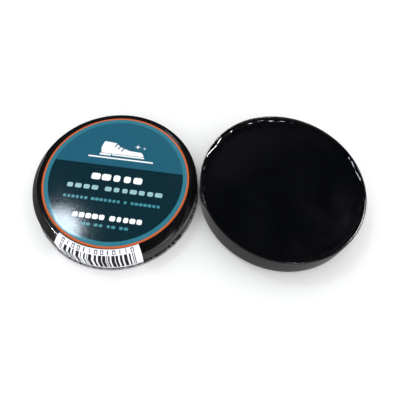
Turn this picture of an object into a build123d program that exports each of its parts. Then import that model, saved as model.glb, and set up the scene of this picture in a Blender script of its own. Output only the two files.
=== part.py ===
from build123d import *
import os

# A round tin of shoe polish, opened: the base with its polish stands on the table, and the lid
# lies beside it, face up. Millimetres, +Z up. The origin is the centre of the base's underside,
# at table height, and the lid lies on the -X side.

# Driving dimensions
SHEET = 0.3                 # tinplate thickness of both pressings
CURL_TURN = 300.0           # how far the edge of each pressing is rolled, in degrees

BASE_RADIUS = 46.4          # outside of the base's wall
BASE_HEIGHT = 16.9          # table to the top of the rim
BASE_CORNER = 2.8           # outside radius where the wall meets the foot
BASE_CURL = 1.0             # diameter of the rim, which is rolled inwards
FOOT_WIDTH = 5.0            # flat ring that stands on the table
PANEL_LIFT = 0.6            # the bottom panel is pressed this far up, inside the foot
PANEL_STEP = 1.2            # width and bend radius of the step between foot and panel

POLISH_DEPTH = 3.4          # the polish ends this far below the rim
POLISH_DISH = 0.4           # its surface sinks this much more at the middle
POLISH_GAP = 0.03           # between the cast polish and the pressing around it

LID_FIT = 0.3               # radial clearance between the lid's skirt and the base's wall
LID_PANEL = 16.05           # table to the panel that carries the label
CREST_WIDTH = 0.7           # from the panel's edge to the crest that surrounds it
CREST_PEAK = 0.55           # height of the crest over the panel, before it is rounded
CREST_ROUND = 0.6           # bend radius at the crest
SHOULDER_HEIGHT = 12.3      # table to the bend between shoulder and skirt
SHOULDER_ROUND = 1.0        # bend radius there
LID_CURL = 1.5              # diameter of the lid's lower edge, which is rolled outwards

LABEL_RADIUS = 41.5
LABEL_SHIFT = 0.6           # the label is stuck this far off the lid's axis, towards the base
LABEL_MARGIN = 0.25         # bare panel left between the label and the crest on that side
LABEL_THICKNESS = 0.15

STICKER_THICKNESS = 0.12
STICKER_START = 233.5       # degrees around the lid's axis, anticlockwise from +X
STICKER_SWEEP = 60.0
STICKER_HEAD = 41.9         # radius of the sticker's upper edge, just outside the label
STICKER_FOOT = 1.7          # height of its lower edge over the table

TABLE_GAP = 0.25            # between the lid and the base, side by side

# Derived sizes
HALF = SHEET / 2
LID_RADIUS = BASE_RADIUS + LID_FIT + SHEET
LID_X = -(LID_RADIUS + LID_CURL - SHEET + TABLE_GAP + BASE_RADIUS)


def turned(profile, sweep=360.0):
    """The solid that a profile, drawn as radius by height, makes around the vertical axis."""
    return revolve(Plane.XZ * profile, Axis.Z, sweep)


def rolled(sheet, heading, diameter):
    """The middle line of a sheet, with its free end rolled into a curl of that diameter."""
    return sheet + JernArc(sheet @ 1, heading, (diameter - SHEET) / 2, CURL_TURN)


def base_sheet():
    """Middle line of the base's sheet: panel, step, foot, corner and wall."""
    wall = BASE_RADIUS - HALF
    foot_inner = BASE_RADIUS - BASE_CORNER - FOOT_WIDTH
    return FilletPolyline(
        (0, HALF + PANEL_LIFT),
        (foot_inner - PANEL_STEP, HALF + PANEL_LIFT),
        (foot_inner, HALF),
        (wall, HALF),
        (wall, BASE_HEIGHT - BASE_CURL / 2),
        radius=[PANEL_STEP, PANEL_STEP, BASE_CORNER - HALF],
    )


def lid_sheet():
    """Middle line of the lid's sheet: label panel, crest, sloping shoulder and skirt."""
    skirt = LID_RADIUS - HALF
    panel = LID_PANEL - HALF
    panel_radius = LABEL_RADIUS + LABEL_SHIFT + LABEL_MARGIN
    return FilletPolyline(
        (0, panel),
        (panel_radius, panel),
        (panel_radius + CREST_WIDTH, panel + CREST_PEAK),
        (skirt, SHOULDER_HEIGHT),
        (skirt, LID_CURL / 2),
        radius=[CREST_ROUND, CREST_ROUND, SHOULDER_ROUND],
    )


def base_shell():
    """The pressed cup, with its rim rolled inwards."""
    return turned(trace(rolled(base_sheet(), (0, 1), BASE_CURL), SHEET))


def polish():
    """The cast wax: it fills the cup up to a surface that sinks a little at the middle."""
    cup = offset(base_sheet(), HALF + POLISH_GAP, side=Side.LEFT, closed=False)
    rim, floor = cup @ 0, cup @ 1
    inside = make_face(cup + Polyline(floor, (0, rim.Y), rim))
    edge = BASE_HEIGHT - POLISH_DEPTH
    dish = ThreePointArc(
        (-BASE_RADIUS, edge), (0, edge - POLISH_DISH), (BASE_RADIUS, edge)
    )
    air = make_face(
        dish + Polyline(dish @ 1, (BASE_RADIUS, BASE_HEIGHT), (-BASE_RADIUS, BASE_HEIGHT), dish @ 0)
    )
    return turned(inside - air)


def lid_shell():
    """The pressed lid, face up, with its lower edge rolled outwards."""
    return turned(trace(rolled(lid_sheet(), (0, -1), LID_CURL), SHEET))


def round_label():
    """The printed disc stuck on the lid's panel."""
    grounded = (Align.CENTER, Align.CENTER, Align.MIN)
    return Pos(X=LABEL_SHIFT, Z=LID_PANEL) * Cylinder(LABEL_RADIUS, LABEL_THICKNESS, align=grounded)


def barcode_sticker():
    """A paper strip bent over the shoulder, from beside the label down onto the skirt."""
    corner = (Align.MIN, Align.MIN)
    outside = HALF + STICKER_THICKNESS / 2
    middle = offset(lid_sheet(), outside, side=Side.LEFT, closed=False)
    above_head = Rectangle(STICKER_HEAD, 2 * LID_PANEL, align=corner)
    below_foot = Rectangle(2 * LID_RADIUS, STICKER_FOOT, align=corner)
    strip = trace(middle, STICKER_THICKNESS) - above_head - below_foot
    return Rot(Z=STICKER_START) * turned(strip, STICKER_SWEEP)


BESIDE = Pos(X=LID_X)
NODES = {
    "base_shell": base_shell(),
    "polish": polish(),
    "lid_shell": BESIDE * lid_shell(),
    "round_label": BESIDE * round_label(),
    "barcode_sticker": BESIDE * barcode_sticker(),
}

os.makedirs("parts", exist_ok=True)
for name, shape in NODES.items():
    export_step(shape, f"parts/{name}.step")
    box = shape.bounding_box()
    print(f"{name}: {shape.volume:.1f} mm3, {box.min} to {box.max}")
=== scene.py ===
import math
import random

import bmesh
import bpy
from mathutils import Matrix, Vector, noise


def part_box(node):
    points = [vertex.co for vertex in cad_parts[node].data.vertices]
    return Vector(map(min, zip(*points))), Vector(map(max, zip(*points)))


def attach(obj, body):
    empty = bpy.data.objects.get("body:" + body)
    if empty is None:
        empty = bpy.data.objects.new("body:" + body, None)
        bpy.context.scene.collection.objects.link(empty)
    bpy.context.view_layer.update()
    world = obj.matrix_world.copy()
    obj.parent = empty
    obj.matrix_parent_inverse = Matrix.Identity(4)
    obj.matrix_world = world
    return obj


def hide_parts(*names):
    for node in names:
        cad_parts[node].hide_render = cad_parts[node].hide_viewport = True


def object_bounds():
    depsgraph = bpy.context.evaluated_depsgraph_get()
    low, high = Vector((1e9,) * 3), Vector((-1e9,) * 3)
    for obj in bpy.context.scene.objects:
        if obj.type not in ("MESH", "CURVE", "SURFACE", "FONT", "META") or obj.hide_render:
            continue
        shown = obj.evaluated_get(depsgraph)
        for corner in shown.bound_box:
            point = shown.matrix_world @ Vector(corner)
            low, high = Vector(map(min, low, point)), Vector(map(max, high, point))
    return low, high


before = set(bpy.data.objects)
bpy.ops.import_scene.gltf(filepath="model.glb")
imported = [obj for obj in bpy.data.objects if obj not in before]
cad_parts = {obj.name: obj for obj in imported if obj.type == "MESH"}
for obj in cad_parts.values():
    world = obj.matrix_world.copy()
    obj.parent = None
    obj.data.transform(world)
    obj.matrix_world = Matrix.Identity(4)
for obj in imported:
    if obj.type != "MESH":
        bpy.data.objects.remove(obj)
cad_low, cad_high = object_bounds()

MM = 0.001

# ---------------------------------------------------------------- sizes, in metres
# Places come from the frame. The sheet sizes and bends repeat the pressings' own.
base_low, base_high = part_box("base_shell")
lid_low, lid_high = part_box("lid_shell")
label_low, label_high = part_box("round_label")
polish_low, polish_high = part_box("polish")
sticker_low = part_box("barcode_sticker")[0]

BASE_CENTRE = (base_low + base_high) / 2
BASE_RADIUS = (base_high.x - base_low.x) / 2
BASE_TOP = base_high.z
LID_CENTRE = (lid_low + lid_high) / 2
LID_CURL_RADIUS = (lid_high.x - lid_low.x) / 2
LABEL_CENTRE = (label_low + label_high) / 2
LABEL_RADIUS = (label_high.x - label_low.x) / 2
LABEL_TOP = label_high.z
PANEL_TOP = label_low.z

SHEET = 0.3 * MM
HALF = SHEET / 2
CURL_TURN = math.radians(300)
BASE_CORNER = 2.8 * MM
BASE_CURL = 1.0 * MM
FOOT_WIDTH = 5.0 * MM
PANEL_LIFT = 0.6 * MM
PANEL_STEP = 1.2 * MM
LID_CURL = 1.5 * MM
CREST_WIDTH = 0.7 * MM
CREST_PEAK = 0.55 * MM
CREST_ROUND = 0.6 * MM
LABEL_MARGIN = 0.25 * MM
GROOVE_WIDTH = 0.55 * MM        # a slight groove that the press leaves beside the crest
GROOVE_DEPTH = 0.12 * MM
GROOVE_ROUND = 0.5 * MM
SHOULDER_HEIGHT = 12.3 * MM
SHOULDER_ROUND = 1.0 * MM
LID_RADIUS = LID_CURL_RADIUS - LID_CURL + SHEET
STICKER_THICKNESS = 0.12 * MM
STICKER_GLUE = 0.01 * MM        # its underside lies this far over the sheet
STICKER_STEP = 0.2 * MM         # length of its facets
STICKER_HEAD = 41.9 * MM        # the radius where it starts, under the label
STICKER_START = math.radians(233.5)
STICKER_SWEEP = math.radians(60.0)

TURNS = 384                     # facets of a full turn
ARC_STEP = math.radians(7.5)    # facets of a bend

LABEL_TILT = math.radians(-6.0)  # the print is turned a little clockwise on the lid


# ---------------------------------------------------------------- outlines
def rounded(corners, radii):
    """Points of a polyline whose inner corners are rounded. Radii has one entry per inner corner."""
    points = [Vector(corners[0])]
    for before, corner, after, radius in zip(corners, corners[1:], corners[2:], radii):
        corner = Vector(corner)
        back = (Vector(before) - corner).normalized()
        on = (Vector(after) - corner).normalized()
        half = back.angle(on) / 2
        centre = corner + (back + on).normalized() * (radius / math.sin(half))
        first = corner + back * (radius / math.tan(half)) - centre
        last = corner + on * (radius / math.tan(half)) - centre
        turn = first.angle_signed(last)
        steps = max(3, math.ceil(abs(turn) / ARC_STEP))
        for i in range(steps + 1):
            a = -turn * i / steps
            spin = Matrix.Rotation(a, 2)
            points.append(centre + spin @ first)
    points.append(Vector(corners[-1]))
    return points


def divided(points, step):
    """The same line with its long straight runs cut into steps."""
    out = [points[0]]
    for a, b in zip(points, points[1:]):
        n = max(1, math.ceil((b - a).length / step))
        out += [a.lerp(b, i / n) for i in range(1, n + 1)]
    return out


def rolled(points, diameter):
    """The line with a curl added to its end, turning to the left."""
    heading = (points[-1] - points[-2]).normalized()
    radius = (diameter - SHEET) / 2
    centre = points[-1] + Vector((-heading.y, heading.x)) * radius
    arm = points[-1] - centre
    steps = math.ceil(CURL_TURN / (2 * ARC_STEP))
    return points + [
        centre + Matrix.Rotation(CURL_TURN * i / steps, 2) @ arm for i in range(1, steps + 1)
    ]


def shifted(points, distance):
    """The line moved sideways, to its left for a positive distance."""
    out = []
    for i, p in enumerate(points):
        a = points[max(i - 1, 0)]
        b = points[min(i + 1, len(points) - 1)]
        d = (b - a).normalized()
        moved = p + Vector((-d.y, d.x)) * distance
        out.append(Vector((max(moved.x, 0.0), moved.y)))
    return out


def strip(points, thickness):
    """Closed outline of a sheet that follows the line."""
    return shifted(points, thickness / 2) + shifted(points, -thickness / 2)[::-1]


def base_line():
    """Middle of the base's sheet: raised panel, flat foot and wall."""
    wall = BASE_RADIUS - HALF
    foot_inner = BASE_RADIUS - BASE_CORNER - FOOT_WIDTH
    corners = [
        (0, HALF + PANEL_LIFT),
        (foot_inner - PANEL_STEP, HALF + PANEL_LIFT),
        (foot_inner, HALF),
        (wall, HALF),
        (wall, BASE_TOP - BASE_CURL / 2),
    ]
    return rounded(corners, [PANEL_STEP, PANEL_STEP, BASE_CORNER - HALF])


def lid_line():
    """Middle of the lid's sheet: panel, groove, crest, sloping shoulder and skirt."""
    skirt = LID_RADIUS - HALF
    panel = PANEL_TOP - HALF
    panel_radius = LABEL_RADIUS + (LABEL_CENTRE.x - LID_CENTRE.x) + LABEL_MARGIN
    corners = [
        (0, panel),
        (panel_radius - 2.4 * GROOVE_WIDTH, panel),
        (panel_radius - 1.4 * GROOVE_WIDTH, panel - GROOVE_DEPTH),
        (panel_radius - 0.3 * GROOVE_WIDTH, panel - 0.2 * GROOVE_DEPTH),
        (panel_radius + CREST_WIDTH, panel + CREST_PEAK),
        (skirt, SHOULDER_HEIGHT),
        (skirt, LID_CURL / 2),
    ]
    return rounded(corners, [GROOVE_ROUND, GROOVE_ROUND, GROOVE_ROUND, CREST_ROUND, SHOULDER_ROUND])


# ---------------------------------------------------------------- mesh helpers
def finished(name, mesh, materials, sharp=35):
    """An object of that mesh, with its materials and smooth shading up to the sharp angle."""
    for material in materials:
        mesh.materials.append(material)
    mesh.shade_smooth()
    mesh.set_sharp_from_angle(angle=math.radians(sharp))
    piece = bpy.data.objects.new(name, mesh)
    bpy.context.scene.collection.objects.link(piece)
    return piece


def lathe(outline, centre, turns=TURNS, start=0.0, sweep=math.tau, warp=None, pick=None):
    """Mesh of a closed outline, radius by height, turned around the upright axis at centre.
    Warp moves a point, and pick gives the material of a face by its turn and outline step."""
    closed = sweep > math.tau - 1e-6
    bm = bmesh.new()
    rings = []
    axis = {k: None for k, p in enumerate(outline) if p.x < 1e-9}
    for i in range(turns if closed else turns + 1):
        a = start + sweep * i / turns
        ring = []
        for k, p in enumerate(outline):
            if axis.get(k) is not None:
                ring.append(axis[k])
                continue
            place = Vector((p.x * math.cos(a), p.x * math.sin(a), p.y))
            if warp:
                place += warp(place)
            ring.append(bm.verts.new(place + Vector((centre.x, centre.y, 0))))
            if k in axis:
                axis[k] = ring[-1]
        rings.append(ring)
    pairs = list(zip(rings, rings[1:] + rings[:1])) if closed else list(zip(rings, rings[1:]))
    for i, (near, far) in enumerate(pairs):
        for k in range(len(outline)):
            m = (k + 1) % len(outline)
            corners = []
            for v in (near[k], far[k], far[m], near[m]):
                if v not in corners:
                    corners.append(v)
            if len(corners) > 2:
                face = bm.faces.new(corners)
                face.material_index = pick(i, k) if pick else 0
    if not closed:
        bm.faces.new(rings[0])
        bm.faces.new(rings[-1][::-1])
    bmesh.ops.recalc_face_normals(bm, faces=bm.faces)
    mesh = bpy.data.meshes.new("lathe")
    bm.to_mesh(mesh)
    bm.free()
    return mesh


# ---------------------------------------------------------------- material helpers
class Tree:
    """A node tree, built a call at a time."""

    def __init__(self, tree, place):
        self.tree = tree
        self.place = tree.nodes.new("ShaderNodeTexCoord").outputs[place]

    def link(self, value, socket):
        if isinstance(value, bpy.types.NodeSocket):
            self.tree.links.new(value, socket)
        else:
            socket.default_value = value

    def parts(self):
        """The three numbers of the place, as outputs X, Y and Z."""
        node = self.tree.nodes.new("ShaderNodeSeparateXYZ")
        self.link(self.place, node.inputs[0])
        return node.outputs

    def ramp(self, value, low, high, to_low=0.0, to_high=1.0, smooth=False):
        node = self.tree.nodes.new("ShaderNodeMapRange")
        if smooth:
            node.interpolation_type = "SMOOTHSTEP"
        for key, number in (
            ("From Min", low), ("From Max", high), ("To Min", to_low), ("To Max", to_high)
        ):
            node.inputs[key].default_value = number
        self.link(value, node.inputs["Value"])
        return node.outputs["Result"]

    def calc(self, operation, a, b):
        node = self.tree.nodes.new("ShaderNodeMath")
        node.operation = operation
        self.link(a, node.inputs[0])
        self.link(b, node.inputs[1])
        return node.outputs[0]


class Nodes(Tree):
    """A material and its node tree."""

    def __init__(self, name):
        self.material = bpy.data.materials.new(name)
        self.material.use_nodes = True
        super().__init__(self.material.node_tree, "Object")
        self.shader = self.tree.nodes["Principled BSDF"]

    def noise(self, scale, detail=3.0, rough=0.55, stretch=None, distortion=0.0):
        node = self.tree.nodes.new("ShaderNodeTexNoise")
        node.inputs["Scale"].default_value = scale
        node.inputs["Detail"].default_value = detail
        node.inputs["Roughness"].default_value = rough
        node.inputs["Distortion"].default_value = distortion
        self.link(self.stretched(stretch) if stretch else self.place, node.inputs["Vector"])
        return node.outputs["Fac"]

    def stretched(self, scale):
        node = self.tree.nodes.new("ShaderNodeMapping")
        node.inputs["Scale"].default_value = scale
        self.link(self.place, node.inputs["Vector"])
        return node.outputs["Vector"]

    def mix(self, factor, a, b):
        node = self.tree.nodes.new("ShaderNodeMix")
        node.data_type = "RGBA"
        self.link(factor, node.inputs["Factor"])
        self.link(a, node.inputs["A"])
        self.link(b, node.inputs["B"])
        return node.outputs["Result"]

    def bump(self, height, distance, strength=1.0, under=None):
        node = self.tree.nodes.new("ShaderNodeBump")
        node.inputs["Distance"].default_value = distance
        node.inputs["Strength"].default_value = strength
        self.link(height, node.inputs["Height"])
        if under is not None:
            self.link(under, node.inputs["Normal"])
        return node.outputs["Normal"]

    def set(self, **values):
        for key, value in values.items():
            self.link(value, self.shader.inputs[key.replace("_", " ")])
        return self.material


def srgb(r, g, b):
    """A printed colour, given as it shows on a screen from 0 to 255."""
    def linear(c):
        c /= 255
        return c / 12.92 if c <= 0.04045 else ((c + 0.055) / 1.055) ** 2.4
    return (linear(r), linear(g), linear(b), 1.0)


# ---------------------------------------------------------------- materials
RUBBED_SHEEN_HEIGHT = 1.60 * MM         # the lid's rolled edge is rubbed to grey tin up to here; its light grey is also a painted sheen
RUBBED_SHEEN_RAGGED = 0.25 * MM
RUBBED_SHEEN_FADE = 0.2 * MM


def lacquered_tin(name, smooth, coarse, rubbed_sheen=False):
    """Black lacquer on tinplate: faint flow marks, finger smudges, hairline scratches, and grey tin
    where the edge it stands on is rubbed through, painted light grey as a painted sheen of that edge."""
    n = Nodes(name)
    smudge = n.noise(38, 4, 0.6)
    blot = n.noise(160, 3, 0.5, distortion=0.6)
    rough = n.ramp(smudge, 0.35, 0.7, smooth, coarse)
    rough = n.calc("ADD", rough, n.ramp(blot, 0.5, 0.8, 0.0, 0.05))
    scratch = n.noise(900, 2, 0.4, stretch=(1.0, 0.03, 1.0))
    hairline = n.ramp(scratch, 0.70, 0.76)
    rough = n.calc("ADD", rough, n.ramp(hairline, 0, 1, 0.0, 0.18))
    tone = n.mix(n.ramp(smudge, 0.3, 0.75), srgb(9, 9, 11), srgb(19, 19, 21))
    tone = n.mix(n.ramp(hairline, 0, 1, 0.0, 0.35), tone, srgb(70, 70, 72))
    # Rubbed grey tin at the foot of the rolled edge; its light greys are also a painted sheen standing for
    # the light the edge mirrors.
    if rubbed_sheen:
        ragged = n.ramp(n.noise(500, 3, 0.6), 0.3, 0.7, -RUBBED_SHEEN_RAGGED, RUBBED_SHEEN_RAGGED)
        height = n.calc("ADD", n.parts()["Z"], ragged)
        rubbed_sheen_mask = n.ramp(height, RUBBED_SHEEN_HEIGHT, RUBBED_SHEEN_HEIGHT - RUBBED_SHEEN_FADE)
        sheen_streak = n.ramp(n.noise(260, 4, 0.65), 0.3, 0.7)
        tone = n.mix(rubbed_sheen_mask, tone, n.mix(sheen_streak, srgb(108, 108, 112), srgb(166, 166, 170)))
        rough = n.calc("ADD", rough, n.ramp(rubbed_sheen_mask, 0, 1, 0.0, 0.3))
    flow = n.bump(n.noise(420, 2, 0.5), 0.02 * MM, 0.35)
    flow = n.bump(n.noise(60, 2, 0.4), 0.10 * MM, 0.25, under=flow)
    return n.set(
        Base_Color=tone, Roughness=rough, Normal=flow, IOR=1.5, Coat_Weight=0.6, Coat_Roughness=0.03,
    )


def wax():
    """Black cast wax: a nearly mirror-like skin with faint ripples and duller clouds."""
    n = Nodes("black_wax")
    cloud = n.noise(24, 3, 0.55, distortion=0.8)
    fine = n.noise(1400, 3, 0.6)
    rough = n.ramp(cloud, 0.38, 0.72, 0.06, 0.15)
    rough = n.calc("ADD", rough, n.ramp(fine, 0.5, 0.8, 0.0, 0.05))
    tone = n.mix(n.ramp(cloud, 0.35, 0.7), srgb(3, 4, 7), srgb(8, 9, 13))
    skin = n.bump(fine, 0.004 * MM, 0.3)
    skin = n.bump(n.noise(85, 3, 0.5, distortion=1.2), 0.08 * MM, 0.4, under=skin)
    return n.set(
        Base_Color=tone, Roughness=rough, Normal=skin, IOR=1.45,
        Subsurface_Weight=0.05, Subsurface_Scale=0.4 * MM,
    )


def print_ink(name, colour, rough=0.065):
    """Ink on film-covered paper: faint mottle, a fine pebbled skin and slight rubbing."""
    n = Nodes(name)
    mottle = n.noise(700, 4, 0.6)
    wide = n.noise(45, 3, 0.5)
    light = tuple(min(1.0, c * 1.05 + 0.002) for c in colour[:3]) + (1.0,)
    dark = tuple(c * 0.95 for c in colour[:3]) + (1.0,)
    tone = n.mix(n.ramp(mottle, 0.35, 0.65), dark, light)
    tone = n.mix(n.ramp(wide, 0.45, 0.75, 0.0, 0.35), tone, light)
    speck = n.noise(1500, 2, 0.5)
    coarse = n.ramp(wide, 0.35, 0.7, rough - 0.02, rough + 0.02)
    coarse = n.calc("ADD", coarse, n.ramp(speck, 0.45, 0.75, 0.0, 0.07))
    skin = n.bump(n.noise(1000, 3, 0.65), 0.02 * MM, 0.6)
    skin = n.bump(n.noise(150, 2, 0.5), 0.03 * MM, 0.35, under=skin)
    return n.set(Base_Color=tone, Roughness=coarse, Normal=skin, IOR=1.5)


def paper(name, colour, rough=0.55):
    """Sticker paper: fibres in its tone and surface, and a little grime."""
    n = Nodes(name)
    fibre = n.noise(1300, 5, 0.7, distortion=0.4)
    grime = n.noise(70, 4, 0.6)
    dark = tuple(c * 0.88 for c in colour[:3]) + (1.0,)
    tone = n.mix(n.ramp(fibre, 0.3, 0.7), dark, colour)
    tone = n.mix(n.ramp(grime, 0.52, 0.8, 0.0, 0.30), tone, dark)
    coarse = n.ramp(fibre, 0.3, 0.7, rough - 0.08, rough + 0.08)
    skin = n.bump(fibre, 0.015 * MM, 0.5)
    return n.set(Base_Color=tone, Roughness=coarse, Normal=skin, IOR=1.48)


LID_TIN = lacquered_tin("lid_lacquer", 0.03, 0.09, rubbed_sheen=True)
BASE_TIN = lacquered_tin("base_lacquer", 0.09, 0.18)
WAX = wax()
FIELD_TOP = print_ink("ink_upper_field", srgb(32, 91, 113))
FIELD_LOW = print_ink("ink_lower_field", srgb(9, 40, 50))
RING_TEAL = print_ink("ink_pale_ring", srgb(48, 118, 136))
RING_ORANGE = print_ink("ink_outer_ring", srgb(198, 96, 52))
INK_WHITE = print_ink("ink_white", srgb(244, 247, 249), 0.20)
INK_PALE = print_ink("ink_pale", srgb(146, 188, 196), 0.19)
INK_TEAL = print_ink("ink_teal", srgb(58, 136, 150), 0.19)
PAPER = paper("sticker_white", srgb(246, 247, 255))
PAPER_INK = paper("sticker_black", srgb(16, 16, 20), 0.45)


# ---------------------------------------------------------------- pressings and polish
def dents(amount, size, seed):
    """Slow, shallow unevenness of a pressing, the same on both faces of its sheet."""
    offset = Vector((seed, 2.3 * seed, 0))

    def warp(place):
        out = Vector((place.x, place.y, 0))
        far = out.length
        wave = noise.noise(place / size + offset) * amount
        rise = noise.noise(place / size - offset) * amount * min(1.0, place.z / (3 * MM))
        return (out / far * wave if far > 1e-9 else Vector()) + Vector((0, 0, rise))

    return warp


def make_base():
    line = rolled(divided(base_line(), 2 * MM), BASE_CURL)
    mesh = lathe(strip(line, SHEET), BASE_CENTRE, warp=dents(amount=0.035 * MM, size=26 * MM, seed=3.0))
    piece = finished("base_pressing", mesh, [BASE_TIN])
    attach(piece, "base")
    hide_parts("base_shell")


def make_lid():
    line = rolled(divided(lid_line(), 2 * MM), LID_CURL)
    mesh = lathe(strip(line, SHEET), LID_CENTRE, warp=dents(amount=0.03 * MM, size=24 * MM, seed=7.0))
    piece = finished("lid_pressing", mesh, [LID_TIN])
    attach(piece, "lid")
    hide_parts("lid_shell")


POLISH_DISH = 0.4 * MM          # how far the wax sinks towards its middle
WAX_CLIMB = 1.15 * MM           # how far it climbs the wall
CLIMB_WIDTH = 1.9 * MM
SHORE_SIZE = 4.5 * MM           # length and share of the climb's ragged rise and fall
SHORE_SHARE = 0.40
WAX_RIPPLE = 0.05 * MM
RIPPLE_SIZES = (17 * MM, 5 * MM)
WAX_RINGS = 110                 # rings of its top, closer together towards the wall
RING_SPACING = 1.8
WAX_FLOOR_GAP = 0.1 * MM        # between the wax's foot and the sheet


def make_polish():
    """The wax, with its dished and rippled top and the shore it left on the wall."""
    radius = (polish_high.x - polish_low.x) / 2
    edge = polish_high.z
    floor = BASE_CORNER + FOOT_WIDTH
    bottom = [
        Vector((0, SHEET + PANEL_LIFT)),
        Vector((radius - floor - PANEL_STEP, SHEET + PANEL_LIFT)),
        Vector((radius - floor, SHEET + WAX_FLOOR_GAP)),
        Vector((radius - BASE_CORNER, SHEET + WAX_FLOOR_GAP)),
        Vector((radius, BASE_CORNER)),
    ]
    top = []
    for i in range(WAX_RINGS + 1):
        r = radius * (1 - (i / WAX_RINGS) ** RING_SPACING)
        dish = POLISH_DISH * (1 - (r / radius) ** 2)
        climb = WAX_CLIMB * math.exp(-(radius - r) / CLIMB_WIDTH)
        top.append(Vector((r, edge - dish + climb)))
    top[-1].x = 0.0

    def ripple(place):
        if place.z < edge - 2 * POLISH_DISH:
            return Vector()
        from_wall = radius - Vector((place.x, place.y)).length
        inside = min(1.0, from_wall / (4 * MM))
        wide, small = RIPPLE_SIZES
        slow = noise.noise(place / wide) * WAX_RIPPLE
        quick = noise.noise(place / small + Vector((9, 4, 0))) * WAX_RIPPLE * 0.25
        ragged = noise.noise(place / SHORE_SIZE) * WAX_CLIMB * SHORE_SHARE
        shore = math.exp(-from_wall / CLIMB_WIDTH)
        return Vector((0, 0, (slow + quick) * inside + ragged * shore))

    mesh = lathe(bottom + top, BASE_CENTRE, warp=ripple)
    piece = finished("polish_cast", mesh, [WAX], 50)
    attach(piece, "base")
    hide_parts("polish")


# ---------------------------------------------------------------- printed label
ORANGE_WIDTH = 1.1 * MM
PALE_WIDTH = 2.4 * MM
FIELD_SPLIT = 6.9 * MM          # height of the line between the two fields over the label's middle
EDGE_DROP = 0.11 * MM           # the pressed-down edge of the label
INK = 0.012 * MM                # thickness of the marks over the label


def on_label(piece):
    """Turns a piece drawn flat about the label's middle and lays it on the label."""
    piece.data.transform(
        Matrix.Translation((LABEL_CENTRE.x, LABEL_CENTRE.y, LABEL_TOP)) @ Matrix.Rotation(LABEL_TILT, 4, "Z")
    )
    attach(piece, "lid")
    return piece


def make_label():
    """The disc, with each printed field and ring as its own faces."""
    pale_inner = LABEL_RADIUS - ORANGE_WIDTH - PALE_WIDTH
    split = math.asin(FIELD_SPLIT / pale_inner)
    angles = sorted([math.tau * i / 240 for i in range(240)] + [split, math.pi - split])
    ring_inner = LABEL_RADIUS - ORANGE_WIDTH
    rings = [
        (LABEL_RADIUS, PANEL_TOP - LABEL_TOP),
        (LABEL_RADIUS, -EDGE_DROP),
        (ring_inner + 0.4 * MM, -0.3 * EDGE_DROP),
        (ring_inner, 0),
        (pale_inner, 0),
    ]
    orange, pale, upper, lower = range(4)
    bands = [orange, orange, orange, pale]
    bm = bmesh.new()
    verts = [
        [bm.verts.new((r * math.cos(a), r * math.sin(a), z)) for a in angles] for r, z in rings
    ]
    count = len(angles)
    for near, far, ink in zip(verts, verts[1:], bands):
        for i in range(count):
            j = (i + 1) % count
            bm.faces.new((near[i], near[j], far[j], far[i])).material_index = ink
    first, last = angles.index(split), angles.index(math.pi - split)
    inner = verts[-1]
    bm.faces.new(inner[first:last + 1]).material_index = upper
    bm.faces.new(inner[last:] + inner[:first + 1]).material_index = lower
    bm.faces.new(verts[0][::-1]).material_index = orange
    mesh = bpy.data.meshes.new("label")
    bm.to_mesh(mesh)
    bm.free()
    piece = finished("label_disc", mesh, [RING_ORANGE, RING_TEAL, FIELD_TOP, FIELD_LOW])
    on_label(piece)
    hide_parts("round_label")


class Marks:
    """Flat marks of one ink, drawn in millimetres about the label's middle."""

    def __init__(self):
        self.bm = bmesh.new()

    def shape(self, points):
        low = [self.bm.verts.new((x * MM, y * MM, -INK)) for x, y in points]
        top = [self.bm.verts.new((x * MM, y * MM, INK)) for x, y in points]
        self.bm.faces.new(low[::-1])
        self.bm.faces.new(top)
        for i in range(len(points)):
            j = (i + 1) % len(points)
            self.bm.faces.new((low[i], low[j], top[j], top[i]))

    def block(self, x0, y0, x1, y1, corner=0.3):
        corner = min(corner, (x1 - x0) / 2.01, (y1 - y0) / 2.01)
        points = []
        for cx, cy, start in (
            (x1 - corner, y0 + corner, -90), (x1 - corner, y1 - corner, 0),
            (x0 + corner, y1 - corner, 90), (x0 + corner, y0 + corner, 180),
        ):
            for i in range(6):
                a = math.radians(start + 18 * i)
                points.append((cx + corner * math.cos(a), cy + corner * math.sin(a)))
        self.shape(points)

    def star(self, x, y, reach):
        """A four-pointed glint."""
        points = []
        for i in range(8):
            r = reach if i % 2 == 0 else reach * 0.26
            a = math.radians(45 * i)
            points.append((x + r * math.cos(a), y + r * math.sin(a)))
        self.shape(points)

    def row(self, x0, x1, middle, height, words, seed):
        """Stands for a line of print: a plain block for each sign, in blocks of words."""
        draw = random.Random(seed)
        space = 0.6
        pitch = (x1 - x0) / (sum(words) + space * (len(words) - 1))
        x = x0
        for word in words:
            for _ in range(word):
                wide = pitch * draw.uniform(0.62, 0.88)
                left = x + (pitch - wide) / 2
                self.block(left, middle - height / 2, left + wide, middle + height / 2, 0.3 * height)
                x += pitch
            x += space * pitch

    def done(self, name, ink):
        bmesh.ops.recalc_face_normals(self.bm, faces=self.bm.faces)
        mesh = bpy.data.meshes.new(name)
        self.bm.to_mesh(mesh)
        self.bm.free()
        return on_label(finished(name, mesh, [ink]))


def shoe_outline():
    """Side view of a plain laced shoe, toe to the right."""
    corners = [
        (-6.0, 15.1), (-12.0, 15.1), (-12.9, 18.6), (-11.7, 23.2), (-4.6, 22.6), (-1.6, 20.2),
        (4.4, 18.2), (11.6, 17.9), (13.4, 15.1), (-6.0, 15.1),
    ]
    bends = [0.7, 4.0, 0.7, 0.8, 3.0, 6.0, 2.0, 0.5]
    return [tuple(p) for p in rounded(corners, bends)[:-1]]


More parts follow.
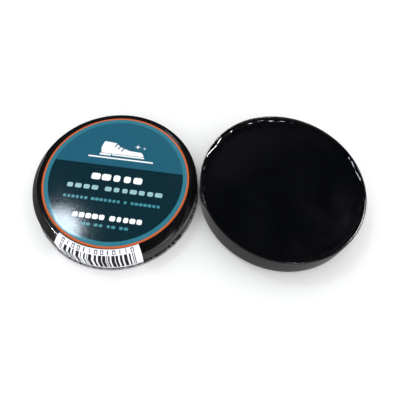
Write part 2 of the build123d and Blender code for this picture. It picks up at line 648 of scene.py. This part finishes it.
def make_marks():
    """The pictogram and the rows of print, in millimetres about the label's middle."""
    white, pale, teal, field = Marks(), Marks(), Marks(), Marks()
    white.shape(shoe_outline()[::-1])
    white.block(-12.9, 13.6, -6.2, 14.8, 0.3)
    white.block(-5.6, 13.9, 13.6, 14.8, 0.45)
    white.block(-19.2, 11.6, 19.3, 12.5, 0.45)
    white.star(8.6, 21.6, 1.8)
    white.star(12.6, 21.0, 1.0)
    white.row(-14.3, 15.8, -0.8, 4.0, [5], 2)
    pale.row(-26.8, 28.2, -7.9, 2.7, [4, 7], 3)
    teal.row(-26.8, 27.9, -14.8, 1.7, [6, 7, 1, 7], 4)
    white.row(-18.7, 20.0, -24.9, 2.9, [5, 5], 5)
    teal.row(-12.5, 13.3, -29.6, 1.6, [2, 2, 2, 2], 6)
    white.done("marks_white", INK_WHITE)
    pale.done("marks_pale", INK_PALE)
    teal.done("marks_teal", INK_TEAL)
    for i in range(3):
        x, y = -4.1 + 2.2 * i, 21.5 - 1.3 * i
        field.shape([(x - 1.2, y - 1.4), (x - 0.5, y - 1.7), (x + 0.9, y + 0.9), (x + 0.2, y + 1.2)])
    laces = field.done("marks_laces", FIELD_TOP)
    laces.data.transform(Matrix.Translation((0, 0, INK)))


# ---------------------------------------------------------------- bar code strip
BAR_MODULES = 95
QUIET_MODULES = 8
BARS_TOP = 3.9 * MM             # along the strip, from its upper edge
BARS_END = 16.6 * MM
SIGNS_TOP = 0.9 * MM
SIGNS_HEIGHT = 2.4 * MM
SIGN_WIDTH = 4                  # in modules
SIGN_PITCH = 7.6
SIGN_STROKE = 0.45 * MM
SIGNS = "0100110010110"         # an upright stroke for each 1 and a hollow box for each 0


def bar_pattern():
    """Made-up bars, one truth value per module, with a pair of guard bars at each end."""
    draw = random.Random(11)
    guard = [True, False, True]
    modules = guard[:]
    inked = False
    while len(modules) < BAR_MODULES - len(guard):
        modules += [inked] * draw.choice([1, 2, 2, 3, 4] if inked else [1, 2, 2, 3])
        inked = not inked
    return modules[:BAR_MODULES - len(guard)] + guard


def make_sticker():
    bars = bar_pattern()
    outer, inner = [
        [
            p for p in shifted(divided(lid_line(), STICKER_STEP), HALF + height)
            if p.x >= STICKER_HEAD and p.y >= sticker_low.z
        ]
        for height in (STICKER_THICKNESS, STICKER_GLUE)
    ]
    along = [0.0]
    for a, b in zip(outer, outer[1:]):
        along.append(along[-1] + (b - a).length)
    modules = 2 * QUIET_MODULES + BAR_MODULES
    first_sign = (modules - (len(SIGNS) - 1) * SIGN_PITCH - SIGN_WIDTH) / 2

    def pick(turn, step):
        """The colour of one facet: 0 for paper, 1 for ink."""
        if step >= len(outer) - 1:
            return 0
        s = (along[step] + along[step + 1]) / 2
        if BARS_TOP < s < BARS_END:
            module = turn // 2 - QUIET_MODULES
            return int(0 <= module < BAR_MODULES and bars[module])
        depth = s - SIGNS_TOP
        if not 0 < depth < SIGNS_HEIGHT:
            return 0
        sign, place = divmod(turn / 2 - first_sign, SIGN_PITCH)
        if not 0 <= sign < len(SIGNS) or place >= SIGN_WIDTH:
            return 0
        if SIGNS[int(sign)] == "1":
            return int(abs(place + 0.25 - SIGN_WIDTH / 2) < 0.6)
        edge = depth < SIGN_STROKE or depth > SIGNS_HEIGHT - SIGN_STROKE
        return int(edge or place < 1 or place >= SIGN_WIDTH - 1)

    def lift(place):
        """The paper doesn't lie quite flat: it stands off a little in soft creases."""
        out = Vector((place.x, place.y, 0)).normalized()
        wave = noise.noise(place / (4 * MM)) + 0.5
        return (out + Vector((0, 0, 0.6))) * max(0.0, wave) * 0.03 * MM

    mesh = lathe(
        outer + inner[::-1], LID_CENTRE, 2 * modules, STICKER_START, STICKER_SWEEP, warp=lift, pick=pick
    )
    piece = finished("barcode_strip", mesh, [PAPER, PAPER_INK])
    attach(piece, "lid")
    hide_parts("barcode_sticker")


# ---------------------------------------------------------------- stage
LAMP_DISTANCE = 0.9
KEY_WAY = (-0.285, 0.345, 0.895)
KEY_GLARE = (-0.023, -0.038, 0)     # where the label mirrors it, from the label's middle
KEY_SIZE = 0.10
KEY_POWER = 0.68
KEY_COLOUR = (0.80, 0.92, 1.0)
GLINTS = {                          # what it is aimed at, the way to it, its size, watts and pieces
    "side": (BASE_CENTRE, (0.526, 0.252, 0.812), 0.10, 2.2, ["base_pressing", "polish_cast"]),
    "back": (BASE_CENTRE, (0.280, 0.005, 0.957), 0.07, 0.8, ["base_pressing", "polish_cast"]),
    "edge": (LID_CENTRE, (-0.883, -0.350, 0.431), 0.09, 8.0, ["lid_pressing"]),
    "rim": (BASE_CENTRE, (-0.413, 0.826, 0.380), 0.60, 14.0, ["base_pressing"]),
}
SKY_STRENGTH = 3.4


def area_light(name, place, target, size, power, colour=(1, 1, 1)):
    lamp = bpy.data.lights.new(name, "AREA")
    lamp.shape = "DISK"
    lamp.size = size
    lamp.energy = power
    lamp.color = colour
    light = bpy.data.objects.new(name, lamp)
    light.location = place
    light.rotation_mode = "QUATERNION"
    light.rotation_quaternion = (Vector(target) - Vector(place)).to_track_quat("-Z", "Y")
    bpy.context.scene.collection.objects.link(light)
    return light


def glint(name, centre, way, size, power, pieces):
    """A small lamp that only shows as a mirror image, and only on the named pieces."""
    place = centre + Vector(way).normalized() * LAMP_DISTANCE
    light = area_light(name, place, centre, size, power)
    light.visible_diffuse = False
    lit = bpy.data.collections.new("lit_by_" + name)
    for piece in pieces:
        lit.objects.link(bpy.data.objects[piece])
    light.light_linking.receiver_collection = lit


TABLE_GLOW = 0.36
WINDOW_GLOW = 2.5
CEILING_GLOW = 0.13
CEILING_WAY = (0.08, 0.62, 0.78)
ROOM_GLOW = 0.03


def studio_glow(world_tree):
    """What shiny surfaces mirror: a dim ceiling with a soft glow, a low window in front, and a
    table that is pale near the object and dark far behind it."""
    n = Tree(world_tree, "Generated")
    way = n.parts()

    def step(value, low, high, to_low, to_high):
        return n.ramp(value, low, high, to_low, to_high, smooth=True)

    def towards(direction, inner, outer, strength):
        """A round glow about a direction, with its two edges in degrees."""
        node = world_tree.nodes.new("ShaderNodeVectorMath")
        node.operation = "DOT_PRODUCT"
        n.link(n.place, node.inputs[0])
        node.inputs[1].default_value = Vector(direction).normalized()
        edges = math.cos(math.radians(outer)), math.cos(math.radians(inner))
        return step(node.outputs["Value"], *edges, 0.0, strength)

    front = step(way["Y"], 0.45, -0.3, 0.0, 1.0)
    under = step(way["Z"], -0.62, -0.80, 0.0, 1.0)
    low = step(way["Z"], -0.35, -0.75, 0.0, TABLE_GLOW)
    table = n.calc("MULTIPLY", n.calc("MAXIMUM", front, under), low)
    sill = step(way["Z"], -0.10, 0.0, 0.0, 1.0)
    head = step(way["Z"], 0.20, 0.10, 0.0, 1.0)
    window = n.calc(
        "MULTIPLY", n.calc("MULTIPLY", sill, head), step(way["Y"], -0.35, -0.60, 0.0, WINDOW_GLOW)
    )
    ceiling = n.calc(
        "ADD", towards(CEILING_WAY, 2, 13, CEILING_GLOW), towards((0, 0, 1), 0, 180, ROOM_GLOW)
    )
    return n.calc("ADD", n.calc("ADD", table, window), ceiling)


FLOOR_HALF = 3.0
NEAR_EDGE = 0.030               # the lacquer mirrors the table only in front of this y


def floor_sheet(name, back, material):
    """A floor that ends at y = back."""
    half = FLOOR_HALF
    mesh = bpy.data.meshes.new(name)
    mesh.from_pydata(
        [(-half, -half, 0), (half, -half, 0), (half, back, 0), (-half, back, 0)], [], [(0, 1, 2, 3)]
    )
    mesh.materials.append(material)
    sheet = bpy.data.objects.new(name, mesh)
    bpy.context.scene.collection.objects.link(sheet)
    return sheet


def make_stage():
    scene = bpy.context.scene
    scene.view_settings.view_transform = "Standard"

    pale = Nodes("pale_floor").set(Base_Color=(0.95, 0.95, 0.95, 1), Roughness=0.8)
    floor = floor_sheet("floor", FLOOR_HALF, pale)
    floor.visible_glossy = False
    near = floor_sheet("table_near", NEAR_EDGE, pale)
    near.visible_camera = near.visible_diffuse = near.visible_shadow = False

    world = bpy.data.worlds.new("studio")
    scene.world = world
    world.use_nodes = True
    tree = world.node_tree
    mirrored = tree.nodes["Background"]
    tree.links.new(studio_glow(tree), mirrored.inputs["Color"])
    backdrop = tree.nodes.new("ShaderNodeBackground")
    backdrop.inputs["Color"].default_value = (1, 1, 1, 1)
    seen = tree.nodes.new("ShaderNodeLightPath")
    blend = tree.nodes.new("ShaderNodeMixShader")
    tree.links.new(seen.outputs["Is Camera Ray"], blend.inputs["Fac"])
    tree.links.new(mirrored.outputs[0], blend.inputs[1])
    tree.links.new(backdrop.outputs[0], blend.inputs[2])
    tree.links.new(blend.outputs[0], tree.nodes["World Output"].inputs["Surface"])

    glare = LABEL_CENTRE + Vector(KEY_GLARE)
    place = glare + Vector(KEY_WAY).normalized() * LAMP_DISTANCE
    area_light("key", place, (cad_low + cad_high) / 2, KEY_SIZE, KEY_POWER, KEY_COLOUR)
    for name, lamp in GLINTS.items():
        glint(name, *lamp)
    sky = bpy.data.lights.new("sky", "SUN")
    sky.energy = SKY_STRENGTH
    sky.angle = math.radians(180)
    fill = bpy.data.objects.new("sky", sky)
    fill.visible_glossy = False
    scene.collection.objects.link(fill)


CAMERA_AIM = Vector((-0.0586, 0.0295, 0.0))
CAMERA_DISTANCE = 0.2561
CAMERA_ELEVATION = math.radians(57.8)
CAMERA_AZIMUTH = math.radians(0.8)
CAMERA_ROLL = math.radians(1.1)
CAMERA_LENS = 36.0
CAMERA_SHIFT = (0.05, -0.124)


def make_camera():
    data = bpy.data.cameras.new("camera")
    data.lens = CAMERA_LENS
    data.sensor_width = 36.0
    data.shift_x, data.shift_y = CAMERA_SHIFT
    data.clip_start = 0.01
    camera = bpy.data.objects.new("camera", data)
    turn = (
        Matrix.Rotation(CAMERA_AZIMUTH, 4, "Z")
        @ Matrix.Rotation(math.pi / 2 - CAMERA_ELEVATION, 4, "X")
        @ Matrix.Rotation(CAMERA_ROLL, 4, "Z")
    )
    back = Matrix.Rotation(CAMERA_AZIMUTH, 3, "Z") @ Vector(
        (0, -math.cos(CAMERA_ELEVATION), math.sin(CAMERA_ELEVATION))
    )
    camera.matrix_world = Matrix.Translation(CAMERA_AIM + back * CAMERA_DISTANCE) @ turn
    bpy.context.scene.collection.objects.link(camera)
    bpy.context.scene.camera = camera


make_base()
make_polish()
make_lid()
make_label()
make_marks()
make_sticker()
make_stage()
make_camera()
